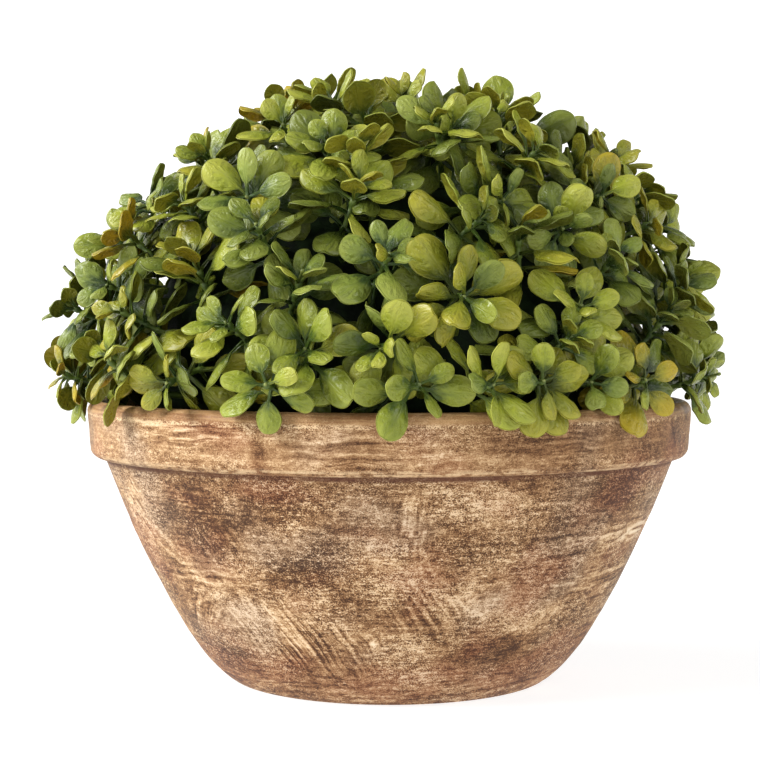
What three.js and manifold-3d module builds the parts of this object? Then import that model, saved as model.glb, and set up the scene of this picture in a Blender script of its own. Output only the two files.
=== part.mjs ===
// A clipped box ball, an artificial plant, growing out of a round bowl-shaped pot.
//
// Frame: millimetres, +Z up, the pot's axis on Z, its flat underside on Z = 0. -Y is the front.
// Pieces: the pot, the foam that fills it, a short stem that stands in the foam, and one clipped
// mass of foliage, a small core with twigs and leaves fused on.

import * as THREE from 'three';
import { ConvexGeometry } from 'three/addons/geometries/ConvexGeometry.js';
import * as BufferGeometryUtils from 'three/addons/utils/BufferGeometryUtils.js';
import Module from 'manifold-3d';

const wasm = await Module();
wasm.setup();

const TURN = 2 * Math.PI;
const GAP = 0.4; // clearance between neighbouring pieces

// ---- driving dimensions --------------------------------------------------------------------

const POT = {
  segments: 48,
  underside: 53, // radius of the flat it stands on
  corner: [54.9, 1.0], // where the wall starts, radius and height
  belly: [[69.0, 11.7], [83.9, 44.9]], // handles of the wall's curve
  shoulder: [94.6, 73.2], // where the wall meets the lip
  lipLow: 99.6, // radius of the lip's outer face at its foot
  lipHigh: 100.5, // and at its top
  lipFoot: 74.2, // height of the lip's lower edge
  lipEdge: 3.0, // rounding of that edge
  crest: 92.5, // height of the lip's crest
  lipWall: 6.8, // thickness of the lip
  wall: 6.4, // thickness of the bowl
  floor: 7.0, // thickness of the bottom
};

const FOAM_TOP = 84; // height of the foam's upper face

const STEM = {
  sides: 12,
  foot: 48, // height of the flat cut that stands in the foam
  footRadius: 6.5,
  tipRadius: 4.5,
};

const CORE = {
  segments: 24,
  base: 86, // height of its flat underside
  radius: 87, // at its widest, just above the lip
  top: 83, // height of the crown of the core above CENTRE
};

const CENTRE = new THREE.Vector3(0, 0, 95); // the ball's centre, just above the lip

const SPRIGS = 130; // tufts of leaves over the whole ball
const LOWEST = THREE.MathUtils.degToRad(-7); // elevation at which the tufts end, from CENTRE
const GOLDEN = Math.PI * (3 - Math.sqrt(5)); // turn from one tuft to the next
const TIP_FLOOR = 97; // the lowest tufts' tips are held up to this height, over the lip

// The tufts under an elevation reach further out and open wider, so that leaves hang over the lip.
const HANG = { below: Math.sin(THREE.MathUtils.degToRad(4)), head: 105, open: 24 };

const REACH_TOP = 109.5; // from CENTRE to the outline of the ball, straight up
const REACH_SIDE = 115.5; // and level with CENTRE
const REACH_SPREAD = 4.0; // how far the shortest tufts stay inside the outline
const TUCK_FROM = Math.sin(THREE.MathUtils.degToRad(9)); // below here the outline draws in
const TUCK = 30; // mm for each unit of the direction's drop

// Places where the clipped ball stands proud of its dome or falls short of it:
// the azimuth and elevation of the middle, the width, all in degrees, and the height in mm.
const SWELLS = [
  { azimuth: 0, elevation: 22, width: 12, height: 6 },
  { azimuth: 0, elevation: 50, width: 16, height: 7 },
  { azimuth: 182, elevation: 14, width: 11, height: 8 },
  { azimuth: 180, elevation: 44, width: 14, height: -8 },
];

const TWIG = {
  root: 72, // distance from CENTRE at which a twig starts, inside the core
  thick: 1.7, // radius where it starts
  thin: 1.1, // and where it ends
  lean: 0.17, // how far its root lies to the side, as a share of that distance
  nub: 2.0, // length of the bare tip past the last whorl
};

// Whorls of leaves on each twig, from the tip down: how far below the tip's whorl each one is,
// how far its leaves open from the twig, how many they are and how long.
const WHORLS = [
  { below: 0, open: 50, leaves: 3, length: 22 },
  { below: 9, open: 76, leaves: 2, length: 22 },
];

const LEAF = {
  width: 0.56, // across its widest, as a share of its length
  widest: 0.64, // how far along that is
  cup: 0.05, // how far its sides rise, as a share of the length
  keel: 0.02, // how far its back hangs below the line from root to tip
  advance: 0.64, // share of its length by which a leaf of the tip's whorl passes the whorl
};

const TRIES = 10; // poses tried for a leaf before it is left out
const LIFT = THREE.MathUtils.degToRad(8); // how far a leaf that meets the pot is lifted
const CLEAR = 1.0; // room kept between a leaf and the pot
const DROOP_FLOOR = 83; // no leaf hangs lower than this

// ---- solids --------------------------------------------------------------------------------

// The solid of a closed three.js geometry.
function solidOf(geometry) {
  const bare = geometry.clone();
  bare.deleteAttribute('normal');
  bare.deleteAttribute('uv');
  const merged = BufferGeometryUtils.mergeVertices(bare, 1e-5);
  return new wasm.Manifold(new wasm.Mesh({
    numProp: 3,
    vertProperties: Float32Array.from(merged.attributes.position.array),
    triVerts: Uint32Array.from(merged.index.array),
  }));
}

function geometryOf(solid) {
  const mesh = solid.getMesh();
  const geometry = new THREE.BufferGeometry();
  geometry.setAttribute('position', new THREE.BufferAttribute(mesh.vertProperties, 3));
  geometry.setIndex(new THREE.BufferAttribute(mesh.triVerts, 1));
  geometry.computeVertexNormals();
  return geometry;
}

// Neighbours are joined first, so that no join has one large and one tiny side.
function joinAll(solids) {
  let row = solids;
  while (row.length > 1) {
    const next = [];
    for (let i = 0; i < row.length; i += 2) {
      next.push(i + 1 < row.length ? row[i].add(row[i + 1]) : row[i]);
    }
    row = next;
  }
  return row[0];
}

// The largest piece alone: loose scraps and sealed hollows are left out.
function largestPiece(solid) {
  const pieces = solid.decompose();
  return pieces.reduce((best, piece) => (piece.volume() > best.volume() ? piece : best));
}

function part(name, geometry, colour, roughness) {
  const material = new THREE.MeshStandardMaterial({ color: colour, roughness, metalness: 0 });
  const mesh = new THREE.Mesh(geometry, material);
  mesh.name = name;
  return mesh;
}

// A profile of [radius, height] pairs turned about Z.
function turned(profile, segments) {
  const points = profile.map(([radius, height]) => new THREE.Vector2(radius, height));
  return new THREE.LatheGeometry(points, segments).rotateX(Math.PI / 2);
}

// Points of a circle's arc, angles in degrees, from the outward radius.
function arc(radius, height, size, from, to, steps) {
  const points = [];
  for (let i = 0; i <= steps; i += 1) {
    const angle = THREE.MathUtils.degToRad(from + (to - from) * i / steps);
    points.push([radius + size * Math.cos(angle), height + size * Math.sin(angle)]);
  }
  return points;
}

function curve(start, handles, end, steps) {
  const bezier = new THREE.CubicBezierCurve(
    new THREE.Vector2(...start),
    new THREE.Vector2(...handles[0]),
    new THREE.Vector2(...handles[1]),
    new THREE.Vector2(...end),
  );
  return bezier.getPoints(steps).map((point) => [point.x, point.y]);
}

// ---- pot, foam and stem --------------------------------------------------------------------

// The bowl's inner face from its floor up to the lip, moved in by a clearance.
function innerFace(clearance) {
  const inset = POT.wall + clearance;
  const start = [POT.corner[0] - inset + 0.6, POT.floor + clearance];
  const handles = POT.belly.map(([radius, height]) => [radius - inset, height + POT.wall / 3]);
  const end = [POT.shoulder[0] - inset, POT.shoulder[1]];
  return curve(start, handles, end, 7);
}

function potProfile() {
  const round = POT.lipWall / 2;
  const edgeHeight = POT.lipFoot + POT.lipEdge;
  return [
    [0, 0],
    [POT.underside, 0],
    ...curve(POT.corner, POT.belly, POT.shoulder, 9),
    ...arc(POT.lipLow - POT.lipEdge, edgeHeight, POT.lipEdge, -90, -4, 3),
    ...arc(POT.lipHigh - round, POT.crest - round, round, 4, 180, 6),
    ...innerFace(0).reverse(),
    [0, POT.floor],
  ];
}

// The foam fills the bowl up to FOAM_TOP, with a blind hole that holds the stem's foot.
function foamProfile() {
  const wall = innerFace(GAP);
  const rim = POT.lipHigh - POT.lipWall;
  const low = wall[wall.length - 1];
  const rise = (FOAM_TOP - low[1]) / (POT.crest - POT.lipWall / 2 - low[1]);
  const hole = STEM.footRadius + GAP;
  return [
    [0, POT.floor + GAP],
    ...wall,
    [low[0] + (rim - GAP - low[0]) * rise, FOAM_TOP],
    [hole, FOAM_TOP],
    [hole, STEM.foot - GAP],
    [0, STEM.foot - GAP],
  ];
}

function stemGeometry() {
  const length = CORE.base - GAP - STEM.foot;
  const stem = new THREE.CylinderGeometry(STEM.tipRadius, STEM.footRadius, length, STEM.sides);
  return stem.rotateX(Math.PI / 2).translate(0, 0, STEM.foot + length / 2);
}

// ---- foliage -------------------------------------------------------------------------------

// A repeatable number from 0 to 1: draw k of tuft i.
function draw(i, k) {
  let hash = Math.imul(i + 1, 0x9e3779b1) ^ Math.imul(k + 1, 0x85ebca6b);
  hash = Math.imul(hash ^ (hash >>> 15), 0x2c1b3c6d);
  hash = Math.imul(hash ^ (hash >>> 12), 0x297a2d39);
  return ((hash ^ (hash >>> 15)) >>> 0) / 4294967296;
}

// The same, spread evenly from -1 to 1.
function sway(i, k) {
  return 2 * draw(i, k) - 1;
}

function direction(azimuth, elevation) {
  return new THREE.Vector3(
    Math.cos(elevation) * Math.cos(azimuth),
    Math.cos(elevation) * Math.sin(azimuth),
    Math.sin(elevation),
  );
}

// How far the clipped ball reaches from CENTRE towards a direction.
function reach(towards) {
  const level = 1 - towards.z * towards.z;
  let distance = REACH_TOP + (REACH_SIDE - REACH_TOP) * level;
  distance -= TUCK * Math.max(0, TUCK_FROM - towards.z);
  for (const swell of SWELLS) {
    const middle = direction(
      THREE.MathUtils.degToRad(swell.azimuth),
      THREE.MathUtils.degToRad(swell.elevation),
    );
    const away = THREE.MathUtils.radToDeg(towards.angleTo(middle)) / swell.width;
    distance += swell.height * Math.exp(-away * away);
  }
  return distance;
}

// Two directions square to an axis and to each other.
function squareTo(axis) {
  const help = Math.abs(axis.z) < 0.9 ? new THREE.Vector3(0, 0, 1) : new THREE.Vector3(1, 0, 0);
  const first = new THREE.Vector3().crossVectors(axis, help).normalize();
  const second = new THREE.Vector3().crossVectors(axis, first);
  return [first, second];
}

// Where tuft i sits: its twig's root and tip, and the direction it grows in.
function tuft(i) {
  const spacing = 0.5 / SPRIGS;
  const share = (i + 0.5) / SPRIGS + spacing * sway(i, 0);
  const elevation = Math.asin(1 - share * (1 - Math.sin(LOWEST)));
  const azimuth = i * GOLDEN + 0.09 * sway(i, 1);
  const towards = direction(azimuth, elevation);
  const whorl = WHORLS[0];
  const hangs = towards.z < HANG.below;
  const clipped = reach(towards) - LEAF.advance * whorl.length;
  const head = (hangs ? HANG.head : clipped) - REACH_SPREAD * draw(i, 2);
  const [east, north] = squareTo(towards);
  const root = towards.clone().multiplyScalar(TWIG.root)
    .addScaledVector(east, TWIG.root * TWIG.lean * sway(i, 3))
    .addScaledVector(north, TWIG.root * TWIG.lean * sway(i, 4));
  root.z = Math.max(root.z, 0);
  root.add(CENTRE);
  const tip = towards.clone().multiplyScalar(head).add(CENTRE);
  tip.z = Math.max(tip.z, TIP_FLOOR);
  const axis = tip.clone().sub(root).normalize();
  const [left, up] = squareTo(axis);
  const spin = TURN * draw(i, 5);
  return {
    root,
    tip,
    axis,
    hangs,
    first: left.clone().multiplyScalar(Math.cos(spin)).addScaledVector(up, Math.sin(spin)),
    second: up.clone().multiplyScalar(Math.cos(spin)).addScaledVector(left, -Math.sin(spin)),
  };
}

// A tapering three-sided twig, with its corners at 0, 120 and 240 degrees round its axis.
function twigSolid({ root, tip, axis, first, second }) {
  const length = tip.distanceTo(root) + TWIG.nub;
  const twig = new THREE.CylinderGeometry(TWIG.thin, TWIG.thick, length, 3);
  twig.translate(0, length / 2, 0);
  const pose = new THREE.Matrix4().makeBasis(second, axis, first).setPosition(root);
  return solidOf(twig.applyMatrix4(pose));
}

// A leaf of six faces with its root at zero: it lies along X and looks up Z.
function leafGeometry(length) {
  const half = LEAF.width / 2;
  const corners = [
    new THREE.Vector3(0, 0, 0),
    new THREE.Vector3(LEAF.widest, half, LEAF.cup),
    new THREE.Vector3(LEAF.widest, -half, LEAF.cup),
    new THREE.Vector3(LEAF.widest, 0, -LEAF.keel),
    new THREE.Vector3(1, 0, 0),
  ];
  return new ConvexGeometry(corners.map((corner) => corner.multiplyScalar(length)));
}

// True if a point is in or near the pot's lip or the foam, or lower than a leaf may hang.
function meetsPot(point) {
  const radius = Math.hypot(point.x, point.y);
  if (radius > POT.lipHigh + CLEAR) {
    return point.z < DROOP_FLOOR;
  }
  const overLip = radius > POT.lipHigh - POT.lipWall - CLEAR;
  return point.z < CLEAR + (overLip ? POT.crest : FOAM_TOP);
}

// One leaf's solid and middle. Its root lies on the twig's axis, it opens from the axis by
// `open`, is rolled about itself by `roll` and is lifted by `lift`.
function leafSolid(origin, { axis, first, second }, { around, open, roll, lift, length }) {
  const out = first.clone().multiplyScalar(Math.cos(around))
    .addScaledVector(second, Math.sin(around));
  const along = axis.clone().multiplyScalar(Math.cos(open)).addScaledVector(out, Math.sin(open));
  along.z += Math.sin(lift);
  along.normalize();
  const face = axis.clone().addScaledVector(along, -axis.dot(along)).normalize();
  const side = new THREE.Vector3().crossVectors(face, along);
  face.multiplyScalar(Math.cos(roll)).addScaledVector(side, Math.sin(roll));
  side.crossVectors(face, along);
  const pose = new THREE.Matrix4().makeBasis(along, side, face).setPosition(origin);
  const geometry = leafGeometry(length).applyMatrix4(pose);
  const place = geometry.attributes.position;
  const middle = along.clone().multiplyScalar(length * LEAF.widest).add(origin);
  const spots = [middle];
  for (let n = 0; n < place.count; n += 1) {
    const corner = new THREE.Vector3().fromBufferAttribute(place, n);
    spots.push(corner, corner.clone().lerp(middle, 0.33), corner.clone().lerp(middle, 0.67));
  }
  const onPot = spots.some(meetsPot);
  const end = along.multiplyScalar(length).add(origin).sub(CENTRE);
  const outside = end.length() > reach(end.clone().normalize());
  return { solid: solidOf(geometry), middle, length, onPot, outside };
}

// True if a leaf runs into one of its neighbours, or into a twig that isn't its own.
function crosses(leaf, leaves, twigs, own) {
  const near = leaves.filter((other) => other.middle.distanceTo(leaf.middle) < 1.3 * leaf.length);
  if (near.some((other) => !other.solid.intersect(leaf.solid).isEmpty())) {
    return true;
  }
  const others = twigs.filter((twig) => twig !== own
    && twig.tip.distanceTo(leaf.middle) < 2 * leaf.length);
  return others.some((twig) => !twig.solid.intersect(leaf.solid).isEmpty());
}

// The leaves of one whorl. A leaf that runs into something is turned a little and tried again,
// and is left out when no try is free.
function growWhorl(twig, i, level, leaves, twigs) {
  const whorl = WHORLS[level];
  const origin = twig.tip.clone().addScaledVector(twig.axis, -whorl.below);
  const open = whorl.open + (twig.hangs ? HANG.open : 0);
  const grown = [];
  for (let n = 0; n < whorl.leaves; n += 1) {
    let lift = 0;
    for (let attempt = 0; attempt < TRIES; attempt += 1) {
      const k = 10 + 400 * level + 100 * n + 4 * attempt;
      const leaf = leafSolid(origin, twig, {
        around: TURN * (n + (level + 1) / 2 + 0.13 * sway(i, k)) / whorl.leaves,
        open: THREE.MathUtils.degToRad(open + 14 * sway(i, k + 1)),
        roll: 0.4 * sway(i, k + 2),
        lift,
        length: whorl.length * (1 + 0.08 * sway(i, k + 3)),
      });
      if (leaf.onPot) {
        lift += LIFT;
      } else if (!leaf.outside && !crosses(leaf, leaves, twigs, twig)) {
        grown.push(leaf);
        break;
      }
    }
  }
  return grown;
}

function coreGeometry() {
  const steps = 6;
  const profile = [[0, CORE.base], [CORE.radius - 4, CORE.base]];
  for (let n = 0; n <= steps; n += 1) {
    const angle = (n / steps) * Math.PI / 2;
    profile.push([CORE.radius * Math.cos(angle), CENTRE.z + CORE.top * Math.sin(angle)]);
  }
  profile[profile.length - 1][0] = 0;
  return turned(profile, CORE.segments);
}

// The tips' whorls grow first, all over the ball, and then the lower ones in the room left.
function foliageGeometry() {
  const twigs = [];
  for (let i = 0; i < SPRIGS; i += 1) {
    const twig = tuft(i);
    twigs.push({ ...twig, solid: twigSolid(twig) });
  }
  const leaves = [];
  WHORLS.forEach((whorl, level) => {
    twigs.forEach((twig, i) => {
      leaves.push(...growWhorl(twig, i, level, leaves, twigs));
    });
  });
  const growth = [...twigs, ...leaves].map((piece) => piece.solid);
  return geometryOf(largestPiece(joinAll([solidOf(coreGeometry()), ...growth])));
}

// ---- the plant -----------------------------------------------------------------------------

const plant = new THREE.Group();
plant.add(part('pot', turned(potProfile(), POT.segments), 0xb08c66, 0.85));
plant.add(part('foam_fill', turned(foamProfile(), POT.segments), 0x2a2a1c, 0.95));
plant.add(part('stem', stemGeometry(), 0x3c4a22, 0.7));
plant.add(part('foliage_dome', foliageGeometry(), 0x7f9a35, 0.5));

export default plant;
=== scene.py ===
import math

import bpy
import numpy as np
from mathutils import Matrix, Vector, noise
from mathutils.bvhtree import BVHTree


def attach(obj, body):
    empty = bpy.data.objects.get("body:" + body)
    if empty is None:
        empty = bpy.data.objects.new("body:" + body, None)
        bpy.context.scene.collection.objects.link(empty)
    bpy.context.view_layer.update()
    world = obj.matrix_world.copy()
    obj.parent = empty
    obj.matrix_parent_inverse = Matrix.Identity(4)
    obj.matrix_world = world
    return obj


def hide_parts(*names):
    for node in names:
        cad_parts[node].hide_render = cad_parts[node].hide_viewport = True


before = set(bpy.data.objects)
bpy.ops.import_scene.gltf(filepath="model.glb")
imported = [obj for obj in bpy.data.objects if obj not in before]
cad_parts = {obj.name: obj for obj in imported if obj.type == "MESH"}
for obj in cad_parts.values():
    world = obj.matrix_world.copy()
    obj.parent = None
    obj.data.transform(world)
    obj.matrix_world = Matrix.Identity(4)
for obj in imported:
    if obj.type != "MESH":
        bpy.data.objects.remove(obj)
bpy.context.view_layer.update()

# The looks of a clipped artificial box ball in a round bowl pot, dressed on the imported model.
#
# Blender works in metres; sizes here are in millimetres and become metres when a mesh is made.
# +Z up, the pot's axis on Z, its underside on Z = 0, and -Y is the front. A place on the pot is
# an azimuth in degrees from the front, positive to the right, and a height.

MM = 0.001
TURN = 2 * math.pi

# ---- driving dimensions, as in the part's source ----

POT_UNDERSIDE = 53  # radius of the flat it stands on
POT_CORNER = (54.9, 1.0)  # where the wall starts, radius and height
POT_BELLY = ((69.0, 11.7), (83.9, 44.9))  # handles of the wall's curve
POT_SHOULDER = (94.6, 73.2)  # where the wall meets the lip
LIP_LOW = 99.6  # radius of the lip's outer face at its foot
LIP_HIGH = 100.5  # and at its top
LIP_FOOT = 74.2  # height of the lip's lower edge
LIP_EDGE = 3.0  # rounding of that edge
CREST = 92.5  # height of the lip's crest
LIP_WALL = 6.8  # thickness of the lip
WALL = 6.4  # thickness of the bowl
FLOOR = 7.0  # thickness of the bottom
FOAM_TOP = 84  # height of the foam's upper face
STEM_FOOT = 48  # height of the stem's flat cut, in the foam
GAP = 0.4  # clearance between neighbouring pieces
STEM_HOLE = 6.9  # radius of the hole in the foam, the gap wider than the stem

CORE_BASE = 86  # height of the core's flat underside
CORE_RADIUS = 84  # at its widest, a little inside the source's
CORE_TOP = 80  # height of its crown above CENTRE

CENTRE = np.array((0.0, 0.0, 95.0))  # the ball's centre, just above the lip
SPRIGS = 130  # tufts of leaves over the whole ball
LOWEST = math.radians(-7)  # elevation at which the tufts end, from CENTRE
GOLDEN = math.pi * (3 - math.sqrt(5))  # turn from one tuft to the next
TIP_FLOOR = 97  # the lowest tufts' tips are held up to this height, over the lip
HANG_BELOW = math.sin(math.radians(4))  # tufts under this elevation hang over the lip
HANG_HEAD = 105  # how far those reach
HANG_OPEN = 14  # and how much wider their whorls open, in degrees
REACH_TOP = 109.5  # how far the ball reaches from CENTRE at its top
REACH_SIDE = 115.5  # and at its sides
REACH_SPREAD = 4.0  # how much the tufts' heads differ
TUCK_FROM = math.sin(math.radians(9))  # the ball tucks in under this elevation
TUCK = 30  # and by this much for a unit of height
SWELLS = (  # azimuth, elevation and width in degrees, height in mm
    (0, 22, 12, 6),
    (0, 50, 16, 7),
    (182, 14, 11, 8),
    (180, 44, 14, -8),
)
TWIG_ROOT = 72  # distance of a twig's root from CENTRE
TWIG_LEAN = 0.17  # how far the root may stray aside, as a share of that
SOURCE_LEAF = 22  # length of the leaves in the part's source
LEAF_ADVANCE = 0.64  # share of its length by which a leaf of the tip's whorl passes the whorl
LIFT = math.radians(8)  # a leaf that meets the pot is lifted by this for its next try
CLEAR = 0.6  # room between leaves and pot
DROOP_FLOOR = 84  # leaves outside the lip hang no lower than this

# Each twig grows on as a finer shoot that turns aside, with finer whorls than the source's.
SHOOT_FROM = 11  # how far below the source's tip the twig turns into its shoot
SHOOT_ON = 4.2  # how far the shoot grows past that tip
SHOOT_MORE = 1.5  # how much further the uppermost shoots grow
SHOOT_TURN = 0.62  # how far it turns aside, as a share of its length
SHOOT_FLOOR = 100.5  # the lowest shoots' tips are held up to this height
WHORLS = (  # below the shoot's tip, opening in degrees, leaves, length
    (0.0, 46, 4, 12.5),
    (3.4, 60, 4, 16.0),
    (7.4, 76, 4, 17.8),
    (12.0, 94, 4, 17.5),
)
BARE = 0.2  # share of shoots that end in a bare peg
NEAR = 20  # leaves further apart than this can't touch
TRIES = 12  # poses that a leaf tries before it is left out


# ---- meshes ----

def make_piece(name, points, faces, material, slot, node, uv=None):
    """A smooth mesh piece from points in mm; uv holds one pair for each corner of each face."""
    mesh = bpy.data.meshes.new(name)
    mesh.from_pydata((np.asarray(points) * MM).tolist(), [], faces)
    if uv is not None:
        layer = mesh.uv_layers.new(name="OFBake")
        layer.data.foreach_set("uv", np.asarray(uv, np.float32).ravel())
    mesh.materials.append(material)
    mesh.shade_smooth()
    piece = bpy.data.objects.new(name, mesh)
    bpy.context.scene.collection.objects.link(piece)
    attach(piece, "root")
    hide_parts(node)
    return piece


def grid_faces(rows, columns, closed=False):
    """Quads of a grid of points, row by row; a closed grid joins its last column to its first."""
    faces = []
    for r in range(rows - 1):
        low, high = r * columns, (r + 1) * columns
        for c in range(columns if closed else columns - 1):
            d = (c + 1) % columns
            faces.append((low + c, low + d, high + d, high + c))
    return faces


def capped_faces(rows, columns):
    """Faces of a closed grid of points with a flat cap at each end."""
    faces = grid_faces(rows, columns, closed=True)
    last = (rows - 1) * columns
    faces.append(tuple(range(columns - 1, -1, -1)))
    faces.append(tuple(range(last, last + columns)))
    return faces


def turned(profile, segments):
    """Points and faces of a profile of (radius, height) turned about Z, with flat caps."""
    angles = np.arange(segments) / segments * TURN
    radii, heights = np.transpose(profile)[..., None]
    heights = heights + 0 * angles
    points = np.stack([radii * np.sin(angles), -radii * np.cos(angles), heights], axis=-1)
    return points.reshape(-1, 3), capped_faces(len(profile), segments)


def arc(radius, height, size, start, end, steps):
    """Points of an arc about (radius, height), between two angles in degrees."""
    return [
        (radius + size * math.cos(math.radians(a)), height + size * math.sin(math.radians(a)))
        for a in np.linspace(start, end, steps)
    ]


def curve(start, handles, end, steps):
    """Points of a Bezier curve with two handles."""
    points = []
    for t in np.linspace(0, 1, steps):
        weights = ((1 - t) ** 3, 3 * (1 - t) ** 2 * t, 3 * (1 - t) * t * t, t ** 3)
        corners = (start, handles[0], handles[1], end)
        points.append(tuple(sum(w * p[i] for w, p in zip(weights, corners)) for i in (0, 1)))
    return points


def line(start, end, steps):
    """Points from start up to end, without end itself."""
    return [tuple(np.array(start) + (np.array(end) - start) * k / steps) for k in range(steps)]


def smooth(low, high, value):
    """0 up to low, 1 from high, smooth between."""
    t = np.clip((value - low) / (high - low), 0, 1)
    return t * t * (3 - 2 * t)


def field(points, size, seed, stretch=(1, 1, 1)):
    """Smooth noise from -1 to 1 at points in mm, with lumps of about `size` mm."""
    scaled = np.asarray(points) / size * np.asarray(stretch) + 17.3 * seed
    return np.array([noise.noise(Vector(p)) for p in scaled])


# ---- material nodes ----

class Nodes:
    """Short calls that add nodes to a new material; a value may be a number or a socket."""

    def __init__(self, name):
        self.material = bpy.data.materials.new(name)
        self.material.use_nodes = True
        self.tree = self.material.node_tree
        self.shader = self.tree.nodes["Principled BSDF"]

    def put(self, socket, value):
        if isinstance(value, bpy.types.NodeSocket):
            self.tree.links.new(value, socket)
        else:
            socket.default_value = value

    def add(self, kind, *values, **settings):
        node = self.tree.nodes.new("ShaderNode" + kind)
        for key, value in settings.items():
            setattr(node, key, value)
        for socket, value in zip(node.inputs, values):
            if value is not None:
                self.put(socket, value)
        return node

    def math(self, operation, *values, clamp=False):
        return self.add("Math", *values, operation=operation, use_clamp=clamp).outputs[0]

    def vector(self, operation, *values):
        return self.add("VectorMath", *values, operation=operation)

    def join(self, x, y, z=0.0):
        return self.add("CombineXYZ", x, y, z).outputs[0]

    def split(self, vector):
        return self.add("SeparateXYZ", vector).outputs

    def noise(self, vector, scale=1.0, detail=2.0, roughness=0.55):
        return self.add("TexNoise", vector, None, scale, detail, roughness).outputs[0]

    def mark(self, name):
        """A value painted on the mesh's points."""
        return self.add("Attribute", attribute_name=name).outputs["Fac"]

    def band(self, value, low, high, start=0.0, end=1.0):
        """start below low, end above high, smooth between."""
        node = self.add("MapRange", value, low, high, start, end, interpolation_type="SMOOTHSTEP")
        return node.outputs[0]

    def stripe(self, value, low, rising, falling, high):
        """1 from rising to falling, fading to 0 at low and at high."""
        return self.product(self.band(value, low, rising), self.band(value, high, falling))

    def centred(self, value):
        """A noise about 0 in place of 0.5."""
        return self.math("SUBTRACT", value, 0.5)

    def product(self, first, *others):
        for other in others:
            first = self.math("MULTIPLY", first, other)
        return first

    def mix(self, share, first, second, blend="MIX"):
        node = self.add("Mix", data_type="RGBA", blend_type=blend, clamp_factor=True)
        self.put(node.inputs[0], share)
        for place, colour in ((6, first), (7, second)):
            linked = isinstance(colour, bpy.types.NodeSocket)
            self.put(node.inputs[place], colour if linked else (*colour, 1))
        return node.outputs[2]

    def ramp(self, value, *stops):
        """Colours at places from 0 to 1, blended between."""
        node = self.add("ValToRGB", value)
        ramp = node.color_ramp
        ramp.elements[0].position, ramp.elements[1].position = stops[0][0], stops[-1][0]
        ramp.elements[0].color, ramp.elements[1].color = (*stops[0][1], 1), (*stops[-1][1], 1)
        for place, colour in stops[1:-1]:
            ramp.elements.new(place).color = (*colour, 1)
        return node.outputs[0]

    def total(self, *terms):
        """The sum of (value, weight) pairs."""
        result = None
        for value, weight in terms:
            if result is None:
                result = self.math("MULTIPLY", value, weight)
            else:
                result = self.math("MULTIPLY_ADD", value, weight, result)
        return result

    def finish(self, colour, roughness, height=None, depth=0.0, strength=1.0):
        self.put(self.shader.inputs["Base Color"], colour)
        self.put(self.shader.inputs["Roughness"], roughness)
        if height is not None:
            bump = self.add("Bump")
            bump.inputs["Strength"].default_value = strength
            bump.inputs["Distance"].default_value = depth * MM
            self.put(bump.inputs["Height"], height)
            self.put(self.shader.inputs["Normal"], bump.outputs[0])
        return self.material

    def specular(self, level):
        self.shader.inputs["Specular IOR Level"].default_value = level


def two_tone(name, scale, colours, gloss, depth, blend=(0.35, 0.65), specular=0.5,
             stretch=None, **settings):
    """A material of two colours by one noise, which also sets its roughness and fine relief."""
    n = Nodes(name)
    place = n.add("TexCoord").outputs["Object"]
    if stretch:
        place = n.vector("MULTIPLY", place, stretch).outputs[0]
    tone = n.noise(place, scale=scale, **settings)
    colour = n.mix(n.band(tone, *blend), *colours)
    n.specular(specular)
    return n.finish(colour, n.band(tone, 0.3, 0.7, *gloss), tone, depth=depth)


# ---- pot ----

POT_SEGMENTS = 640
POT_WALL = curve(POT_CORNER, POT_BELLY, POT_SHOULDER, 78)  # up the outer face, radius and height
HEEL = 1.2  # rounding of the lower edge
PATCH_DEPTH = 60  # how far behind its place a patch may reach, so that the far side stays clear
INSET = 0.6  # how much further out the wall's inner face starts than its thickness gives

# Soft stains on the pot, and on the lip patches of painted light: azimuth, height, half width and
# half height in mm, tilt in degrees, and how far they lighten (+) or darken (-) the wash.
STAINS_AND_PAINTED_LIGHT = (
    (-38, 59, 17, 12, -15, -0.75),
    (-24, 63, 15, 6, 10, -0.45),
    (-17, 44, 24, 7, 8, -0.5),
    (-9, 35, 13, 5, 20, -0.4),
    (-47, 12, 16, 7, 15, -0.55),
    (48, 66, 20, 8, -6, -0.75),
    (25, 19, 20, 5, 8, -0.4),
    (12, 52, 9, 8, 0, -0.3),
    (33, 57, 16, 6, 5, -0.3),
    (-44, 40, 26, 7, 14, 0.45),
    (-30, 27, 30, 12, 12, 0.5),
    (-62, 58, 12, 17, -30, 0.4),
    (-3, 48, 12, 13, 0, 0.3),
    (19, 65, 15, 7, 0, 0.35),
    (14, 32, 20, 8, 25, 0.35),
    (68, 52, 22, 6, -4, 0.45),
    (34, 28, 22, 7, 5, 0.2),
    # Painted light: the lip's rows at heights 81 to 83, all but the narrow mark at -22, make it
    # lighter to the left and darker in the middle and to the right, as the light from the left falls.
    (-56, 83, 34, 10, 0, 0.2),
    (-22, 81, 3, 8, 8, -0.6),
    (30, 82, 30, 9, 0, -0.25),
    (58, 81, 30, 10, 0, -0.25),
    (0, 83, 17, 8, 0, -0.14),
    (2, 22, 16, 10, 0, 0.22),
)
LATER_STAINS = 26  # more of them, round the sides and back

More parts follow.
